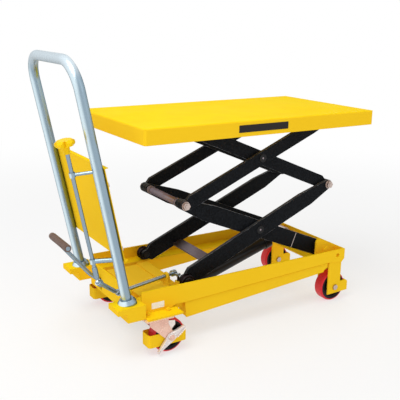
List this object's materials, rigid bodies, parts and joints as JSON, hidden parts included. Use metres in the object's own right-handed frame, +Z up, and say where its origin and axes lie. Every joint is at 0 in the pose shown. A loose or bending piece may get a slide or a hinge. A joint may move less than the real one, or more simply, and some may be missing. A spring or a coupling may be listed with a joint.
{
  "type": "scissor lift table",
  "caption": "Push-along double scissor lift table: sheet tray on crossed arms, foot pump, lowering knob, bent tube handle, fixed rear wheels and braked swivel casters",
  "frame": {"origin": "on the floor under the middle of the overall length and width, at the shown height", "axes": "+X from the push handle to the far end, +Z up, -Y the side of the lowering knob"},
  "size_m": [1.1479, 0.531, 0.9415],
  "materials": {
    "yellow_paint": "golden yellow powder coat, half gloss",
    "black_paint": "near-black textured powder coat, matt",
    "black_gloss": "black enamel, half gloss",
    "bright_steel": "bright turned steel",
    "dull_steel": "dull machined steel",
    "handle_tube": "pale plated tube, satin",
    "zinc": "bright zinc plate",
    "tread": "red elastic tread, satin",
    "hub": "black painted iron",
    "grip_rubber": "brown-grey ribbed rubber",
    "rod_steel": "plated steel rod",
    "knob": "moulded yellow plastic"
  },
  "bodies": {
    "base": {"cylinder_bracket": "yellow_paint", "side_rail_right": "yellow_paint", "side_rail_left": "yellow_paint", "rear_cross_member": "yellow_paint", "handle_end_plate": "yellow_paint", "pump_cover": "yellow_paint", "handle_socket_right": "yellow_paint", "handle_socket_left": "yellow_paint", "caster_mounts": "yellow_paint", "rear_wheel_bracket_right": "yellow_paint", "rear_wheel_bracket_left": "yellow_paint", "rear_axles": "bright_steel", "caster_plates": "zinc", "push_handle": "handle_tube", "handle_panel": "yellow_paint", "panel_bolts": "bright_steel", "pump_block": "black_gloss"},
    "lower_inner": {"lower_inner_arm_right": "black_paint", "lower_inner_arm_left": "black_paint", "lower_inner_pins": "bright_steel", "cross_tube": "dull_steel", "push_shaft": "black_gloss"},
    "lower_outer": {"lower_outer_arm_right": "black_paint", "lower_outer_arm_left": "black_paint", "lower_outer_pins": "bright_steel", "cross_bar": "dull_steel"},
    "upper_outer": {"upper_outer_arm_right": "black_paint", "upper_outer_arm_left": "black_paint", "upper_outer_pins": "bright_steel"},
    "upper_inner": {"upper_inner_arm_right": "black_paint", "upper_inner_arm_left": "black_paint", "upper_inner_pins": "bright_steel"},
    "platform": {"platform_tray": "yellow_paint", "platform_underframe": "yellow_paint"},
    "lower_roller_pair": {"lower_rollers": "dull_steel"},
    "upper_roller_pair": {"upper_rollers": "dull_steel"},
    "ram": {"cylinder_ram": "bright_steel"},
    "barrel": {"cylinder_barrel": "black_gloss"},
    "pedal": {"pedal_bar": "rod_steel", "pedal_grip": "grip_rubber"},
    "plunger": {"pump_plunger": "bright_steel"},
    "release_upper": {"release_knob": "knob", "release_shaft": "rod_steel"},
    "release_middle": {"release_link": "rod_steel"},
    "release_lower": {"release_rod": "rod_steel"},
    "valve": {"valve_stem": "bright_steel"},
    "caster_right": {"caster_fork_right": "zinc", "caster_guard_right": "yellow_paint"},
    "caster_wheel_right": {"caster_hub_right": "hub", "caster_tread_right": "tread"},
    "brake_right": {"caster_brake_right": "zinc"},
    "rear_wheel_right": {"rear_hub_right": "hub", "rear_tread_right": "tread"},
    "caster_left": {"caster_fork_left": "zinc", "caster_guard_left": "yellow_paint"},
    "caster_wheel_left": {"caster_hub_left": "hub", "caster_tread_left": "tread"},
    "brake_left": {"caster_brake_left": "zinc"},
    "rear_wheel_left": {"rear_hub_left": "hub", "rear_tread_left": "tread"}
  },
  "joints": [
    {"name": "lift", "type": "hinge", "parent": "base", "child": "lower_inner", "pos_m": [0.47671, 0, 0.192], "axis": [0, 1, 0], "range_deg": [-16.6, 32.1]},
    {"name": "lower_cross", "type": "hinge", "parent": "lower_inner", "child": "lower_outer", "pos_m": [0.16973, 0, 0.32104], "axis": [0, 1, 0], "range_deg": [-64.2, 33.2]},
    {"name": "middle_pin", "type": "hinge", "parent": "lower_inner", "child": "upper_outer", "pos_m": [-0.13725, 0, 0.45009], "axis": [0, 1, 0], "range_deg": [-64.2, 33.2]},
    {"name": "upper_cross", "type": "hinge", "parent": "upper_outer", "child": "upper_inner", "pos_m": [0.16973, 0, 0.57913], "axis": [0, 1, 0], "range_deg": [-33.2, 64.2]},
    {"name": "platform_hinge", "type": "hinge", "parent": "upper_outer", "child": "platform", "pos_m": [0.47671, 0, 0.70817], "axis": [0, 1, 0], "range_deg": [-16.6, 32.1]},
    {"name": "lower_roller_spin", "type": "hinge", "parent": "lower_outer", "child": "lower_roller_pair", "pos_m": [-0.13725, 0, 0.192], "axis": [0, 1, 0], "continuous": true},
    {"name": "upper_roller_spin", "type": "hinge", "parent": "upper_inner", "child": "upper_roller_pair", "pos_m": [-0.13725, 0, 0.70817], "axis": [0, 1, 0], "continuous": true},
    {"name": "ram_pivot", "type": "hinge", "parent": "lower_inner", "child": "ram", "pos_m": [0.38745, 0, 0.23709], "axis": [0, 1, 0], "range_deg": [-35.15, 18.18]},
    {"name": "ram_stroke", "type": "slide", "parent": "ram", "child": "barrel", "axis": [-0.9545, 0, -0.2982], "range_m": [-0.02212, 0.04268]},
    {"name": "pedal_press", "type": "hinge", "parent": "base", "child": "pedal", "pos_m": [-0.31929, 0.078, 0.128], "axis": [0, -1, 0], "range_deg": [0, 38], "stiffness_Nm_per_rad": 4, "springref_deg": -28.65},
    {"name": "plunger_push", "type": "slide", "parent": "base", "child": "plunger", "axis": [1, 0, 0], "range_m": [0, 0.01356]},
    {"name": "release_turn", "type": "hinge", "parent": "base", "child": "release_upper", "pos_m": [-0.45774, -0.165, 0.256], "axis": [0.1942, 0, -0.981], "range_deg": [0, 30], "stiffness_Nm_per_rad": 0.6, "springref_deg": -14.32},
    {"name": "release_link_turn", "type": "hinge", "parent": "base", "child": "release_middle", "pos_m": [-0.45774, -0.165, 0.256], "axis": [0.763, 0.2225, -0.6068], "range_deg": [0, 30]},
    {"name": "release_rod_turn", "type": "hinge", "parent": "base", "child": "release_lower", "pos_m": [-0.38229, -0.143, 0.196], "axis": [0.9684, 0.2493, 0], "range_deg": [0, 30]},
    {"name": "valve_press", "type": "slide", "parent": "base", "child": "valve", "axis": [0, 0, -1], "range_m": [0, 0.01267]},
    {"name": "caster_swivel_right", "type": "hinge", "parent": "base", "child": "caster_right", "pos_m": [-0.28929, -0.222, 0.12], "axis": [0, 0, 1], "continuous": true},
    {"name": "caster_roll_right", "type": "hinge", "parent": "caster_right", "child": "caster_wheel_right", "pos_m": [-0.24929, -0.222, 0.0575], "axis": [0, 1, 0], "continuous": true},
    {"name": "caster_brake_press_right", "type": "hinge", "parent": "caster_right", "child": "brake_right", "pos_m": [-0.24929, -0.222, 0.0575], "axis": [0, 1, 0], "range_deg": [0, 15]},
    {"name": "caster_swivel_left", "type": "hinge", "parent": "base", "child": "caster_left", "pos_m": [-0.28929, 0.222, 0.12], "axis": [0, 0, 1], "continuous": true},
    {"name": "caster_roll_left", "type": "hinge", "parent": "caster_left", "child": "caster_wheel_left", "pos_m": [-0.24929, 0.222, 0.0575], "axis": [0, 1, 0], "continuous": true},
    {"name": "caster_brake_press_left", "type": "hinge", "parent": "caster_left", "child": "brake_left", "pos_m": [-0.24929, 0.222, 0.0575], "axis": [0, 1, 0], "range_deg": [0, 15]},
    {"name": "rear_roll_right", "type": "hinge", "parent": "base", "child": "rear_wheel_right", "pos_m": [0.48971, -0.174, 0.0575], "axis": [0, 1, 0], "continuous": true},
    {"name": "rear_roll_left", "type": "hinge", "parent": "base", "child": "rear_wheel_left", "pos_m": [0.48971, 0.174, 0.0575], "axis": [0, 1, 0], "continuous": true}
  ],
  "couplings": [
    {"joint": "lower_cross", "follows": "lift", "ratio": -2},
    {"joint": "middle_pin", "follows": "lift", "ratio": -2},
    {"joint": "upper_cross", "follows": "lift", "ratio": 2},
    {"joint": "platform_hinge", "follows": "lift", "ratio": 1},
    {"joint": "ram_pivot", "follows": "lift", "ratio": -1.095},
    {"joint": "ram_stroke", "follows": "lift", "m_per_rad": 0.076},
    {"joint": "plunger_push", "follows": "pedal_press", "m_per_rad": 0.0203},
    {"joint": "release_link_turn", "follows": "release_turn", "ratio": 1},
    {"joint": "release_rod_turn", "follows": "release_turn", "ratio": 1},
    {"joint": "valve_press", "follows": "release_turn", "m_per_rad": 0.024}
  ]
}
